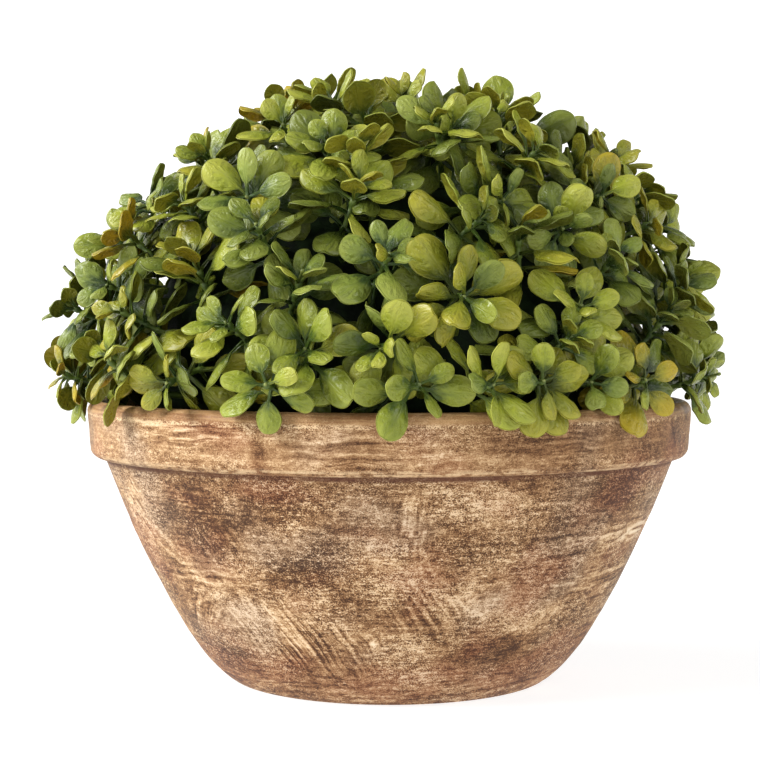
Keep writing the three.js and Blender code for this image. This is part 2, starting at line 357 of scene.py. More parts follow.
# Dry brushwork: azimuth, height, half width and half height of the patch in mm, the direction
# of its bristles as an index of BRISTLES, and its strength, pale (+) or dark (-).
BRISTLES = (-58, 2, 86, 42)  # degrees from the horizontal, rising to the right
BRUSHWORK = (
    (-30, 26, 24, 13, 0, 0.62),
    (-14, 20, 18, 12, 0, 0.6),
    (9, 33, 22, 11, 0, 0.5),
    (-44, 41, 24, 7, 1, 0.5),
    (-62, 60, 9, 16, 0, 0.6),
    (5, 61, 7, 15, 2, 0.45),
    (-50, 29, 13, 9, 3, 0.6),
    (62, 53, 30, 6, 1, 0.9),
    (58, 38, 28, 6, 1, 0.7),
    (-36, 85, 26, 5, 1, 0.8),
    (-4, 82, 34, 6, 1, 0.5),
    (30, 83, 30, 6, 1, 0.5),
    (0, 5, 90, 5, 1, 0.5),
    (75, 22, 30, 9, 1, 0.6),
    (38, 50, 22, 9, 1, 0.45),
    (30, 28, 20, 9, 3, 0.35),
    (-36, 52, 24, 9, 0, 0.35),
)
LATER_BRUSHWORK = 16

# Single strokes of dry wash: azimuth and height of both ends, width in mm, strength.
STROKES = (
    (38, 52.5, 60, 52.5, 1.6, 0.95),
    (60, 53, 88, 57.5, 0.9, 1.4),
    (56, 50.8, 84, 54.2, 0.7, 1.00),
    (66, 55.6, 88, 59.6, 0.6, 0.8),
    (52, 50, 84, 53.5, 1.1, 0.5),
    (38, 38.5, 70, 41, 1.3, 0.7),
    (44, 36.5, 66, 38, 1, 0.45),
    (48, 31.5, 72, 36, 1.2, 0.4),
    (3, 68, 4, 57, 1, 0.32),
    (6.5, 69, 6, 56, 1, 0.28),
    (4, 57, 9, 44.5, 1.1, 0.6),
    (1.5, 66, 1.5, 58, 1.2, -0.55),
    (5, 65, 5, 56, 1, -0.5),
    (10, 39, 24, 28, 1.2, 0.5),
    (13, 37, 22, 30, 1, 0.35),
    (-72, 66, -52, 50, 1.5, 0.6),
    (-70, 58, -46, 41, 1.6, 0.55),
    (-58, 29, -38, 36, 1.3, 0.5),
    (-52, 89, -30, 85, 1.1, 0.6),
    (-36, 86.5, -16, 85.5, 1, 0.45),
    (-40, 79.5, -12, 77.5, 1.1, 0.45),
    (-12, 80.5, 22, 80, 1, 0.15),
    (10, 79.5, 40, 77.5, 1, 0.35),
    (60, 88, 63, 80, 0.9, -0.6),
    (-4.2, 22.3, -3.8, 21.4, 1, 1.6),
)


def inner_wall(gap, steps):
    """A curve up the wall's inner face, or up what fills it with a gap."""
    inset = WALL + gap
    handles = [(radius - inset, height + WALL / 3) for radius, height in POT_BELLY]
    start = (POT_CORNER[0] - inset + INSET, FLOOR + gap)
    return curve(start, handles, (POT_SHOULDER[0] - inset, POT_SHOULDER[1]), steps)


def pot_profile():
    half_lip = LIP_WALL / 2
    inside = inner_wall(0, 10)
    face = arc(LIP_LOW - LIP_EDGE, LIP_FOOT + LIP_EDGE, LIP_EDGE, -90, -4, 8)
    crest = arc(LIP_HIGH - half_lip, CREST - half_lip, half_lip, 4, 180, 15)
    return [
        (20, 0),
        *line((POT_UNDERSIDE - 4, 0), (POT_UNDERSIDE, 0), 3),
        *arc(POT_UNDERSIDE, HEEL, HEEL, -90, -35, 4),
        *POT_WALL[1:],
        *line((POT_SHOULDER[0], LIP_FOOT), face[0], 2),
        *face,
        *line(face[-1], crest[0], 15)[1:],
        *crest,
        *line(crest[-1], inside[-1], 6)[1:],
        *inside[::-1],
        (20, FLOOR),
    ]


def on_pot(azimuth, height):
    """The point of the pot's outer face at an azimuth and a height."""
    radius = np.interp(height, [z for _, z in POT_WALL], [r for r, _ in POT_WALL])
    if height > LIP_FOOT:
        radius = LIP_LOW
    angle = math.radians(azimuth)
    return np.array((radius * math.sin(angle), -radius * math.cos(angle), height))


def patch(points, azimuth, height, wide, high, tilt, ragged):
    """1 inside a tilted ellipse on the pot's face, falling to 0 over its ragged edge."""
    angle = math.radians(azimuth)
    away = points - on_pot(azimuth, height)
    east = away @ np.array((math.cos(angle), math.sin(angle), 0))
    deep = away @ np.array((math.sin(angle), -math.cos(angle), 0))
    up = away[:, 2]
    lean = math.radians(tilt)
    along = east * math.cos(lean) + up * math.sin(lean)
    across = up * math.cos(lean) - east * math.sin(lean)
    size = np.sqrt((along / wide) ** 2 + (across / high) ** 2) + 0.35 * ragged
    return (1 - smooth(0.35, 1.15, size)) * (deep > -PATCH_DEPTH)


def stroke(points, start, end, width, ragged):
    """1 along a stroke between two places on the pot's face, fading at its sides and ends."""
    middle = math.radians((start[0] + end[0]) / 2)
    radius = np.hypot(*on_pot(start[0], (start[1] + end[1]) / 2)[:2])
    azimuths = np.arctan2(points[:, 0], -points[:, 1]) - middle
    azimuths = (azimuths + math.pi) % TURN - math.pi
    flat = np.stack([azimuths * radius, points[:, 2]], axis=-1)
    first, last = [np.array(((math.radians(a) - middle) * radius, z)) for a, z in (start, end)]
    run = last - first
    along = (flat - first) @ run / max(1e-6, np.sum(run ** 2))
    nearest = first + np.clip(along, 0, 1)[:, None] * run
    wander = np.array((0, 0.8)) * ragged[:, None]
    away = np.linalg.norm(flat - nearest + wander, axis=1) / width
    return 1 - smooth(0.2, 1.0, away + 0.25 * ragged)


def later_places(count, seed):
    """Places round the sides and back of the pot, repeatable."""
    pick = np.random.default_rng(seed)
    for n in range(count):
        azimuth = 85 + 190 * (n + pick.uniform(0.1, 0.9)) / count
        yield azimuth, pick.uniform(8, 68), pick


def pot_marks(points):
    """How far stains, and painted light on the lip, lighten or darken the wash at each point, and the
    brushwork by direction.
    """
    ragged = field(points, 9, 3)
    wash = np.zeros(len(points))
    # Stains, and on the lip painted light.
    for azimuth, height, wide, high, tilt, strength in STAINS_AND_PAINTED_LIGHT:
        wash += strength * patch(points, azimuth, height, wide, high, tilt, ragged)
    for azimuth, height, pick in later_places(LATER_STAINS, 41):
        strength = pick.choice((-0.6, -0.45, 0.4, 0.5))
        wide, high = pick.uniform(14, 26), pick.uniform(6, 13)
        tilt = pick.uniform(-25, 25)
        wash += strength * patch(points, azimuth, height, wide, high, tilt, ragged)
    outside = np.hypot(points[:, 0], points[:, 1]) > POT_UNDERSIDE
    for azimuth, height, far_azimuth, far_height, width, strength in STROKES:
        start, end = (azimuth, height), (far_azimuth, far_height)
        wash += strength * outside * stroke(points, start, end, width, ragged)
    brushed = np.zeros((len(BRISTLES), len(points)))
    for azimuth, height, wide, high, kind, strength in BRUSHWORK:
        brushed[kind] += strength * patch(points, azimuth, height, wide, high, 0, ragged)
    for azimuth, height, pick in later_places(LATER_BRUSHWORK, 42):
        kind = int(pick.integers(len(BRISTLES)))
        wide, high = pick.uniform(20, 36), pick.uniform(8, 16)
        strength = pick.uniform(0.25, 0.55)
        brushed[kind] += strength * patch(points, azimuth, height, wide, high, 0, ragged)
    return wash, np.clip(brushed, 0, 1)


def pot_relief(points):
    """Small hand-made unevenness, in mm, outwards."""
    swell = 0.3 * field(points, 26, 5) + 0.16 * field(points, 9, 6, (1, 1, 1.6))
    grain = 0.07 * field(points, 2.4, 7, (1, 1, 1.5))
    return swell + grain


# The wash's colour by its tone, from dark hollows at 0 to thick pale wash at 1.
PLAIN_WASH = (
    (0, (0.052, 0.019, 0.006)),
    (0.26, (0.175, 0.078, 0.028)),
    (0.52, (0.35, 0.193, 0.086)),
    (0.8, (0.6, 0.395, 0.212)),
    (1, (0.745, 0.55, 0.35)),
)
RUDDY_WASH = (
    (0, (0.064, 0.018, 0.006)),
    (0.28, (0.212, 0.076, 0.029)),
    (0.58, (0.372, 0.184, 0.088)),
    (0.86, (0.55, 0.338, 0.198)),
    (1, (0.665, 0.474, 0.315)),
)
GREY_WASH = (
    (0, (0.05, 0.023, 0.011)),
    (0.26, (0.158, 0.08, 0.037)),
    (0.52, (0.328, 0.2, 0.106)),
    (0.8, (0.545, 0.38, 0.238)),
    (1, (0.67, 0.506, 0.352)),
)
CREST_WASH = ((0.3, 0.15, 0.06), (0.5, 0.3, 0.13))
# A painted highlight on the lip's upper rounded edge.
TOP_EDGE_HIGHLIGHT_COLOUR = (0.74, 0.54, 0.32)
THICK_WASH = (0.84, 0.7, 0.5)
# A painted highlight on the lip's lower rounded edge.
LOW_EDGE_HIGHLIGHT_COLOUR = (0.7, 0.5, 0.29)
# Painted shade in the corner under the lip.
CORNER_SHADE_COLOUR = (0.105, 0.036, 0.02)

# Stripes round the lip, all painted light (highlights on its upper and lower edges, shade in the
# corner under it): where each starts, is full, starts to fade and ends, in height.
TOP_EDGE_HIGHLIGHT_STRIPE = (CREST - 4.8, CREST - 4.1, CREST - 3.8, CREST - 3.0)
LOW_EDGE_HIGHLIGHT_STRIPE = (LIP_FOOT - 0.2, LIP_FOOT + 0.5, LIP_FOOT + 1.0, LIP_FOOT + 2.6)
CORNER_SHADE_STRIPE = (LIP_FOOT - 2.1, LIP_FOOT - 1.0, LIP_FOOT - 0.3, LIP_FOOT + 0.4)

# Noises on the pot: size of their lumps sideways and upwards in mm, shift, detail, roughness.
POT_NOISES = {
    "dust": (0.42, 0.29, 2, 1.5, 0.6),
    "fine": (1.75, 0.75, 0, 2.5, 0.65),
    "medium": (3.6, 2.2, 5, 3, 0.7),
    "cloud": (24, 15, 9, 2, 0.55),
    "hair": (22, 0.8, 13, 3, 0.6),
    "coarse": (17, 11, 27, 1.5, 0.55),
    "ruddy": (30, 20, 21, 2, 0.55),
    "grey": (34, 26, 31, 1, 0.55),
}
MEAN_RADIUS = 88.0  # of the pot's face, for the way round it in mm
BRISTLE_RUN = 26.0  # length of a bristle's line, in mm
BRISTLE_PITCH = 1.6  # and the room from line to line


def pot_noises(n, x, y, z):
    noises = {}
    for name, (sideways, upwards, shift, detail, roughness) in POT_NOISES.items():
        vector = n.join(
            n.math("DIVIDE", x, sideways), n.math("DIVIDE", y, sideways),
            n.math("MULTIPLY_ADD", z, 1 / upwards, shift))
        noises[name] = n.noise(vector, detail=detail, roughness=roughness)
    return noises


def bristle_lines(n, x, y, z, cloud):
    """Fine lines in each of the bristles' directions, shown where its brushwork lies."""
    around = n.product(n.math("ARCTAN2", x, n.product(y, -1.0)), MEAN_RADIUS)
    lines = None
    for index, degrees in enumerate(BRISTLES):
        lean = math.radians(degrees)
        along = n.total((around, math.cos(lean)), (z, math.sin(lean)))
        across = n.total((z, math.cos(lean)), (around, -math.sin(lean)))
        wavy = n.math("MULTIPLY_ADD", cloud, 6.0, across)
        vector = n.join(
            n.math("DIVIDE", along, BRISTLE_RUN), n.math("DIVIDE", wavy, BRISTLE_PITCH), 3.0 * index)
        bristle = n.centred(n.noise(vector, detail=2.5, roughness=0.6))
        shown = n.product(bristle, n.mark(f"brush_{index}"))
        lines = shown if lines is None else n.math("ADD", lines, shown)
    return lines


def pot_tone(n, noises, lines, lip):
    """How pale the wash is, from about 0 in the hollows to about 1 where it is thick."""
    dust, fine = noises["dust"], noises["fine"]
    speckle = n.total(
        (n.centred(dust), 1.9),
        (n.band(dust, 0.44, 0.36), -0.22),
        (n.band(dust, 0.58, 0.68), 0.18),
        (n.band(fine, 0.56, 0.66), 0.16),
        (n.centred(fine), 1.3),
    )
    # The speckle is coarse in places, calm in others and on the lip, and brushwork wipes it.
    wiped = n.total(*[(n.mark(f"brush_{index}"), -0.38) for index in range(len(BRISTLES))])
    grainy = n.product(
        n.band(noises["coarse"], 0.36, 0.64, 0.66, 1.26),
        n.math("MULTIPLY_ADD", lip, -0.4, 1.0),
        n.math("ADD", wiped, 1.0, clamp=True),
    )
    calm = n.math("MULTIPLY_ADD", lip, -0.38, 1.0)
    tone = n.total(
        (n.product(speckle, grainy), 1.0),
        (n.product(calm, n.centred(noises["medium"])), 1.26),
        (n.product(calm, n.centred(noises["cloud"])), 0.8),
        (n.product(calm, n.centred(noises["hair"])), 0.85),
        (lines, 3.3),
        (n.mark("wash"), 0.46),
        (lip, 0.07),
    )
    return n.math("ADD", tone, 0.42)


def pot_colour(n, z, tone, noises, crown):
    hair = noises["hair"]
    plain, ruddy, grey = [n.ramp(tone, *wash) for wash in (PLAIN_WASH, RUDDY_WASH, GREY_WASH)]
    colour = n.mix(n.band(noises["grey"], 0.48, 0.66), plain, grey)
    red = n.band(noises["ruddy"], 0.45, 0.68)
    red = n.math("MULTIPLY_ADD", n.band(z, 26.0, 2.0), 0.5, red, clamp=True)  # and near the foot
    colour = n.mix(n.product(red, 0.8), colour, ruddy)
    crest = n.mix(n.band(hair, 0.35, 0.65), *CREST_WASH)
    colour = n.mix(n.product(crown, 0.62), colour, crest)
    # A pale stripe on the lip's upper rounded edge: a painted highlight.
    top_edge_highlight = n.product(n.stripe(z, *TOP_EDGE_HIGHLIGHT_STRIPE), n.band(tone, 0.45, 0.7), 0.8)
    colour = n.mix(top_edge_highlight, colour, TOP_EDGE_HIGHLIGHT_COLOUR)
    thick = n.product(
        n.band(n.mark("wash"), 0.85, 1.6, 0.0, 0.75),
        n.band(hair, 0.36, 0.58, 0.25, 1.0),
        n.band(tone, 0.35, 0.85),
    )
    colour = n.mix(thick, colour, THICK_WASH)
    # A pale stripe on the lip's lower edge is a painted highlight, and a dark stripe in the corner
    # under the lip is painted shade.
    low_edge_highlight = n.product(
        n.stripe(z, *LOW_EDGE_HIGHLIGHT_STRIPE), n.band(hair, 0.4, 0.55), n.band(noises["medium"], 0.38, 0.58), 0.75)
    colour = n.mix(low_edge_highlight, colour, LOW_EDGE_HIGHLIGHT_COLOUR)
    corner_shade = n.product(n.stripe(z, *CORNER_SHADE_STRIPE), n.band(noises["cloud"], 0.35, 0.6, 0.45, 1.0), 0.85)
    return n.mix(corner_shade, colour, CORNER_SHADE_COLOUR)


def pot_material():
    n = Nodes("aged_wash_painted_light")
    place = n.vector("SCALE", n.add("TexCoord").outputs["Object"])
    place.inputs["Scale"].default_value = 1 / MM
    x, y, z = n.split(place.outputs[0])
    noises = pot_noises(n, x, y, z)
    lines = bristle_lines(n, x, y, z, noises["cloud"])
    lip = n.band(z, LIP_FOOT - 0.4, LIP_FOOT + 0.6)
    crown = n.band(z, CREST - 4.0, CREST - 2.6)
    tone = pot_tone(n, noises, lines, lip)
    pale = n.band(tone, 0.2, 0.9)
    roughness = n.band(n.total((noises["dust"], 0.5), (pale, 0.5)), 0.1, 0.9, 0.55, 0.85)
    roughness = n.math("MULTIPLY_ADD", crown, -0.22, roughness)
    height = n.total(
        (noises["dust"], 0.3), (noises["fine"], 0.35), (noises["medium"], 0.25), (pale, 0.35),
        (lines, 1.0))
    n.specular(0.22)
    colour = pot_colour(n, z, tone, noises, crown)
    return n.finish(colour, roughness, height, depth=0.35, strength=0.6)


def make_pot():
    points, faces = turned(pot_profile(), POT_SEGMENTS)
    outwards = points * (1, 1, 0)
    outwards /= np.maximum(np.linalg.norm(outwards, axis=1), 1e-6)[:, None]
    wash, brushed = pot_marks(points)
    shows = smooth(2, 8, points[:, 2]) * smooth(40, 60, np.hypot(points[:, 0], points[:, 1]))
    points = points + outwards * (pot_relief(points) * shows)[:, None]
    pot = make_piece("aged_bowl", points, faces, pot_material(), "pot_finish", "pot")
    marks = {"wash": wash, **{f"brush_{k}": values for k, values in enumerate(brushed)}}
    for name, values in marks.items():
        layer = pot.data.attributes.new(name, "FLOAT", "POINT")
        layer.data.foreach_set("value", values.astype(np.float32))


# ---- foam and stem ----

def make_foam():
    rim = LIP_HIGH - LIP_WALL - 2 * GAP
    profile = [
        (12, FLOOR + GAP),
        *inner_wall(GAP, 12),
        (rim - 3, FOAM_TOP - 2.5),
        (rim - 0.4, FOAM_TOP - 0.8),
        *line((rim - 1, FOAM_TOP), (STEM_HOLE, FOAM_TOP), 34),
        *line((STEM_HOLE, FOAM_TOP), (STEM_HOLE, FOAM_TOP - 30), 5),
        (STEM_HOLE, STEM_FOOT - GAP),
        (3, STEM_FOOT - GAP),
    ]
    points, faces = turned(profile, 180)
    top = smooth(FOAM_TOP - 1.5, FOAM_TOP - 0.1, points[:, 2])
    points[:, 2] -= top * (0.7 + 0.7 * field(points, 7, 8) + 0.4 * field(points, 2.5, 9))
    colours = (0.01, 0.012, 0.006), (0.032, 0.03, 0.016)
    material = two_tone(
        "dark_foam", 900.0, colours, (0.85, 1.0), 0.8, blend=(0.4, 0.65), detail=3.0, roughness=0.7)
    make_piece("foam_block", points, faces, material, "foam", "foam_fill")


def finish_stem():
    colours = (0.03, 0.05, 0.018), (0.075, 0.105, 0.035)
    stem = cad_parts["stem"]
    stem.data.materials.clear()
    stem.data.materials.append(
        two_tone("stem_plastic_ribbed", 1.0, colours, (0.45, 0.65), 0.4, stretch=(500.0, 500.0, 60.0)))


# ---- foliage: the source's rule ----

def draw(i, k):
    """A repeatable number from 0 to 1: draw k of tuft i."""
    mask = 0xFFFFFFFF
    value = ((i + 1) * 0x9E3779B1 ^ (k + 1) * 0x85EBCA6B) & mask
    value = ((value ^ (value >> 15)) * 0x2C1B3C6D) & mask
    value = ((value ^ (value >> 12)) * 0x297A2D39) & mask
    return (value ^ (value >> 15)) / 4294967296


def sway(i, k):
    """A repeatable number from -1 to 1."""
    return 2 * draw(i, k) - 1


def unit(vector):
    return vector / np.linalg.norm(vector)


def direction(azimuth, elevation):
    flat = math.cos(elevation)
    return np.array((flat * math.cos(azimuth), flat * math.sin(azimuth), math.sin(elevation)))


SWELL_PLACES = [
    (direction(math.radians(azimuth), math.radians(elevation)), width, height)
    for azimuth, elevation, width, height in SWELLS
]


def reach(towards):
    """How far the clipped ball reaches from CENTRE towards a direction."""
    distance = REACH_TOP + (REACH_SIDE - REACH_TOP) * (1 - towards[2] ** 2)
    distance -= TUCK * max(0, TUCK_FROM - towards[2])
    for middle, width, height in SWELL_PLACES:
        away = math.degrees(math.acos(np.clip(towards @ middle, -1, 1))) / width
        distance += height * math.exp(-away * away)
    return distance


def square_to(axis):
    """Two directions square to an axis and to each other."""
    other = np.array((0, 0, 1) if abs(axis[2]) < 0.9 else (1, 0, 0))
    first = unit(np.cross(axis, other))
    return first, np.cross(axis, first)


def tuft(i):
    """Where tuft i sits: its twig's root and tip, and the direction it grows in."""
    share = (i + 0.5) / SPRIGS + 0.5 / SPRIGS * sway(i, 0)
    elevation = math.asin(1 - share * (1 - math.sin(LOWEST)))
    azimuth = i * GOLDEN + 0.09 * sway(i, 1)
    towards = direction(azimuth, elevation)
    hangs = towards[2] < HANG_BELOW
    head = HANG_HEAD if hangs else reach(towards) - LEAF_ADVANCE * SOURCE_LEAF
    head -= REACH_SPREAD * draw(i, 2)
    east, north = square_to(towards)
    root = TWIG_ROOT * (towards + TWIG_LEAN * (sway(i, 3) * east + sway(i, 4) * north))
    root[2] = max(root[2], 0)
    root = root + CENTRE
    tip = towards * head + CENTRE
    tip[2] = max(tip[2], TIP_FLOOR)
    axis = unit(tip - root)
    left, up = square_to(axis)
    spin = TURN * draw(i, 5)
    first = left * math.cos(spin) + up * math.sin(spin)
    second = up * math.cos(spin) - left * math.sin(spin)

    elbow = tip - axis * SHOOT_FROM
    aside = SHOOT_TURN * (sway(i, 7) * first + sway(i, 8) * second)
    on = SHOOT_ON + SHOOT_MORE * smooth(0.1, 0.6, towards[2])
    shoot_tip = elbow + unit(axis + aside) * (SHOOT_FROM + on)
    shoot_tip[2] = max(shoot_tip[2], SHOOT_FLOOR)
    shoot = unit(shoot_tip - elbow)
    first = unit(first - shoot * (first @ shoot))
    return {
        "index": i,
        "root": root,
        "elbow": elbow,
        "tip": shoot_tip,
        "axis": shoot,
        "hangs": hangs,
        "first": first,
        "second": np.cross(shoot, first),
        "open": 10 * sway(i, 9),  # degrees by which its whorls open more
        "size": 1 + 0.08 * sway(i, 10),
        "young": 0.72 + 0.36 * draw(i, 11),  # size of the leaves at its tip
        "bare": draw(i, 12) < BARE,
    }


# ---- foliage: leaves ----

ROWS = np.array((0, 0.16, 0.3, 0.345, 0.41, 0.49, 0.58, 0.67, 0.76, 0.84, 0.91, 0.96, 0.988, 1.0))
COLUMNS = np.array((-1, -0.93, -0.5, 0, 0.5, 0.93, 1))
ROUGH_ROWS = np.array((0.12, 0.35, 0.55, 0.75, 1.0))
ROUGH_COLUMNS = np.array((-1, 0, 1))
ROUGH_FACES = grid_faces(len(ROUGH_ROWS), len(ROUGH_COLUMNS))
PETIOLE = 0.031  # half width of the leaf's stalk, as a share of its length
BLADE_FROM = 0.31  # how far along the blade starts
WIDEST = 0.56  # how far along the blade it is widest
TIP_ROUND = 0.012  # how far the middle of the tip passes its corners
LOBES_AT = 0.62  # how far along the leaf its soft dents fan out from
BLADE_THICK = 0.55  # the leaf's thickness in its blade
STALK_THICKER = 0.65  # and how much thicker its stalk is

# A leaf's shape: the usual value, how far it sways, and by which draw. The twist is in radians,
# the others are shares of the leaf's length.
LEAF_SHAPE = {
    "wide": (0.266, 0.04, 4),
    "bend": (0.24, 0.34, 5),
    "cup": (-0.36, 0.19, 6),
    "spoon": (-0.34, 0.24, 5),
    "twist": (0, 0.35, 6),
    "sweep": (0, 0.05, 7),
}
PUCKER = 0.042  # height of the soft dents
LEAF_SWAY = {"around": 0.16, "open": 21, "roll": 0.75, "grow": 0.15}  # turns, degrees, radians, share


def half_width(t, wide):
    """Half the leaf's width along it, as a share of its length."""
    s = np.clip((t - BLADE_FROM) / (1 - BLADE_FROM), 0, 1)
    opening = np.maximum(0, 1 - ((WIDEST - s) / WIDEST) ** 2) ** 0.68
    closing = np.sqrt(np.maximum(0, 1 - ((s - WIDEST) / (1.028 * (1 - WIDEST))) ** 2))
    return np.hypot(PETIOLE, wide * np.where(s < WIDEST, opening, closing))


def leaf_sheet(shape, rows, columns):
    """The leaf's middle surface: it lies along X with its root at zero and looks up Z."""
    t, v = np.meshgrid(rows, columns, indexing="ij")
    width = half_width(t, shape["wide"])
    blade = smooth(0.22, 0.5, t)
    x = t - TIP_ROUND * t ** 4 * v ** 2
    y = width * v
    z = shape["bend"] * t * (1 - t) / 2
    z = z + shape["cup"] * blade * width * v ** 2
    z = z + shape["spoon"] * np.maximum(0, t - 0.5) ** 2
    spread = np.arctan2(y, x - LOBES_AT)
    lobes = np.sin(5 * spread + shape["phase"]) * np.hypot(y, x - LOBES_AT)
    z = z + PUCKER * blade * lobes
    lean = shape["twist"] * (t - 0.3)
    z = z + y * np.sin(lean)
    y = y * np.cos(lean) + shape["sweep"] * t * t
    return np.stack([x, y, z], axis=-1) * shape["length"]


def leaf_pose(twig, around, opening, roll, lift):
    """The directions in which the leaf runs, lies and looks."""
    out = twig["first"] * math.cos(around) + twig["second"] * math.sin(around)
    axis = twig["axis"]
    along = axis * math.cos(opening) + out * math.sin(opening)
    along[2] += math.sin(lift)
    along = unit(along)
    face = unit(axis - along * (axis @ along))
    side = np.cross(face, along)
    face = face * math.cos(roll) + side * math.sin(roll)
    side = np.cross(face, along)
    return np.stack([along, side, face])


def meets_pot(points):
    """True if a point is in or near the lip or the foam, or lower than a leaf may hang."""
    radius = np.hypot(points[:, 0], points[:, 1])
    outside = radius > LIP_HIGH + CLEAR
    over_lip = radius > LIP_HIGH - LIP_WALL - CLEAR
    floor = np.where(outside, DROOP_FLOOR, CLEAR + np.where(over_lip, CREST, FOAM_TOP + 1))
    return bool(np.any(points[:, 2] < floor))


def try_leaf(twig, whorl, level, n, attempt, lift):
    """Leaf n of a twig's whorl in one of its poses; each try has eight draws of its own."""
    i = twig["index"]
    k = 10 + 1000 * level + 100 * n + 8 * attempt
    below, opening, leaves, length = whorl
    origin = twig["tip"] - twig["axis"] * below
    opening += twig["open"] + (HANG_OPEN if twig["hangs"] else 0)
    pose = leaf_pose(
        twig,
        TURN * (n + (level + 1) / 2 + LEAF_SWAY["around"] * sway(i, k)) / leaves,
        math.radians(opening + LEAF_SWAY["open"] * sway(i, k + 1)),
        LEAF_SWAY["roll"] * sway(i, k + 2),
        lift,
    )
    shape = {name: usual + far * sway(i, k + d) for name, (usual, far, d) in LEAF_SHAPE.items()}
    young = twig["young"] if level == 0 else 1
    shape["length"] = length * (twig["size"] * (1 + LEAF_SWAY["grow"] * sway(i, k + 3)) * young)
    shape["phase"] = TURN * draw(i, k + 7)
    rough = leaf_sheet(shape, ROUGH_ROWS, ROUGH_COLUMNS).reshape(-1, 3) @ pose + origin
    return {
        "twig": twig, "level": level, "draw": k, "origin": origin, "pose": pose, "shape": shape,
        "rough": rough, "middle": rough[len(rough) // 2],
    }


def grow_leaves(twigs):
    """All leaves, the tips' whorls first; one that finds no free pose is left out."""
    grown = []
    middles = np.zeros((0, 3))
    for level, whorl in enumerate(WHORLS):
        for twig in twigs:
            for n in range(whorl[2]):
                lift = 0
                for attempt in range(TRIES):
                    leaf = try_leaf(twig, whorl, level, n, attempt, lift)
                    if meets_pot(leaf["rough"]):
                        lift += LIFT
                        continue
                    end = leaf["rough"][-2] - CENTRE
                    if np.linalg.norm(end) > reach(unit(end)):
                        continue
                    tree = BVHTree.FromPolygons(leaf["rough"].tolist(), ROUGH_FACES)
                    near = np.flatnonzero(np.linalg.norm(middles - leaf["middle"], axis=1) < NEAR)
                    if any(tree.overlap(grown[m]["tree"]) for m in near):
                        continue
                    leaf["tree"] = tree
                    grown.append(leaf)
                    middles = np.vstack([middles, leaf["middle"]])
                    break
    return grown


# One piece's UV map has a column for each colouring; its upper half holds the upper faces and
# the rims, its lower half the under faces, each leaf with its foot down.
VARIANTS = 4
STRIP = 0.92  # share of a column that the blade takes; its rim takes the rest
MARGIN = 0.03  # how far up its half the foot lies
SPAN = 0.92  # share of the half that the blade takes
RIM = {"side": 0.99, "foot": 0.01, "tip": 0.985}  # where the rim's outer edge lies


def leaf_solid(leaf):
    """Points of a closed leaf: its upper face, then its under face."""
    sheet = leaf_sheet(leaf["shape"], ROWS, COLUMNS)
    thick = BLADE_THICK + STALK_THICKER * (1 - smooth(0.1, 0.42, ROWS))
    thick = thick[:, None] * (1 - 0.35 * np.abs(COLUMNS[None, :]) ** 4)
    lift = np.zeros_like(sheet)
    lift[..., 2] = thick / 2
    points = np.concatenate([(sheet + lift).reshape(-1, 3), (sheet - lift).reshape(-1, 3)])
    return points @ leaf["pose"] + leaf["origin"]


def leaf_layout():
    """Faces of one leaf, and for each corner its place across (-1 to 1), along (0 to 1) and side."""
    rows, columns = len(ROWS), len(COLUMNS)
    count = rows * columns
    faces = []
    corners = []
    for face in grid_faces(rows, columns):
        spots = [(COLUMNS[p % columns] * STRIP, MARGIN + SPAN * ROWS[p // columns]) for p in face]
        faces.append(face[::-1])
        corners += [(*spot, 1) for spot in spots[::-1]]
        faces.append(tuple(p + count for p in face))
        corners += [(*spot, 0) for spot in spots]
    rim = [(r, 0) for r in range(rows)]
    rim += [(rows - 1, c) for c in range(1, columns)]
    rim += [(r, columns - 1) for r in range(rows - 2, -1, -1)]
    rim += [(0, c) for c in range(columns - 2, 0, -1)]
    for (r, c), (s, d) in zip(rim, rim[1:] + rim[:1]):
        a, b = r * columns + c, s * columns + d
        faces.append((a, b, b + count, a + count))
        for row, column, edge in ((r, c, 0), (s, d, 0), (s, d, 1), (r, c, 1)):
            across = COLUMNS[column] * STRIP
            along = MARGIN + SPAN * ROWS[row]
            if edge and row == rows - 1:
                along = RIM["tip"]
            elif edge and row == 0:
                along = RIM["foot"]
            if edge and abs(COLUMNS[column]) == 1:
                across = COLUMNS[column] * RIM["side"]
            corners.append((across, along, 1))
    return faces, np.array(corners)


# By the kind of spray, its share of the sprays and its leaves' colours: foot, blade, tip, under.
TINTS = {
    "lime": (0.28, (
        (0.061, 0.093, 0.011), (0.27, 0.306, 0.027), (0.345, 0.357, 0.051), (0.296, 0.269, 0.024))),
    "green": (0.285, (
        (0.045, 0.078, 0.01), (0.203, 0.242, 0.024), (0.273, 0.304, 0.044), (0.216, 0.208, 0.02))),
    "olive": (0.165, (
        (0.053, 0.076, 0.01), (0.214, 0.229, 0.019), (0.309, 0.289, 0.029), (0.26, 0.204, 0.015))),
    "deep": (0.12, (
        (0.024, 0.046, 0.007), (0.096, 0.127, 0.015), (0.18, 0.212, 0.034), (0.112, 0.118, 0.014))),
    "amber": (0.045, (
        (0.055, 0.074, 0.01), (0.244, 0.224, 0.018), (0.369, 0.28, 0.02), (0.321, 0.2, 0.013))),
    "moss": (0.105, (
        (0.04, 0.074, 0.015), (0.187, 0.239, 0.037), (0.251, 0.289, 0.054), (0.2, 0.21, 0.032))),
    # The inner tint is painted shade: darker leaves for the whorls deep in the ball, where little
    # light reaches.
    "inner": (0.0, (
        (0.018, 0.038, 0.005), (0.072, 0.098, 0.011), (0.142, 0.17, 0.025), (0.086, 0.094, 0.011))),
}
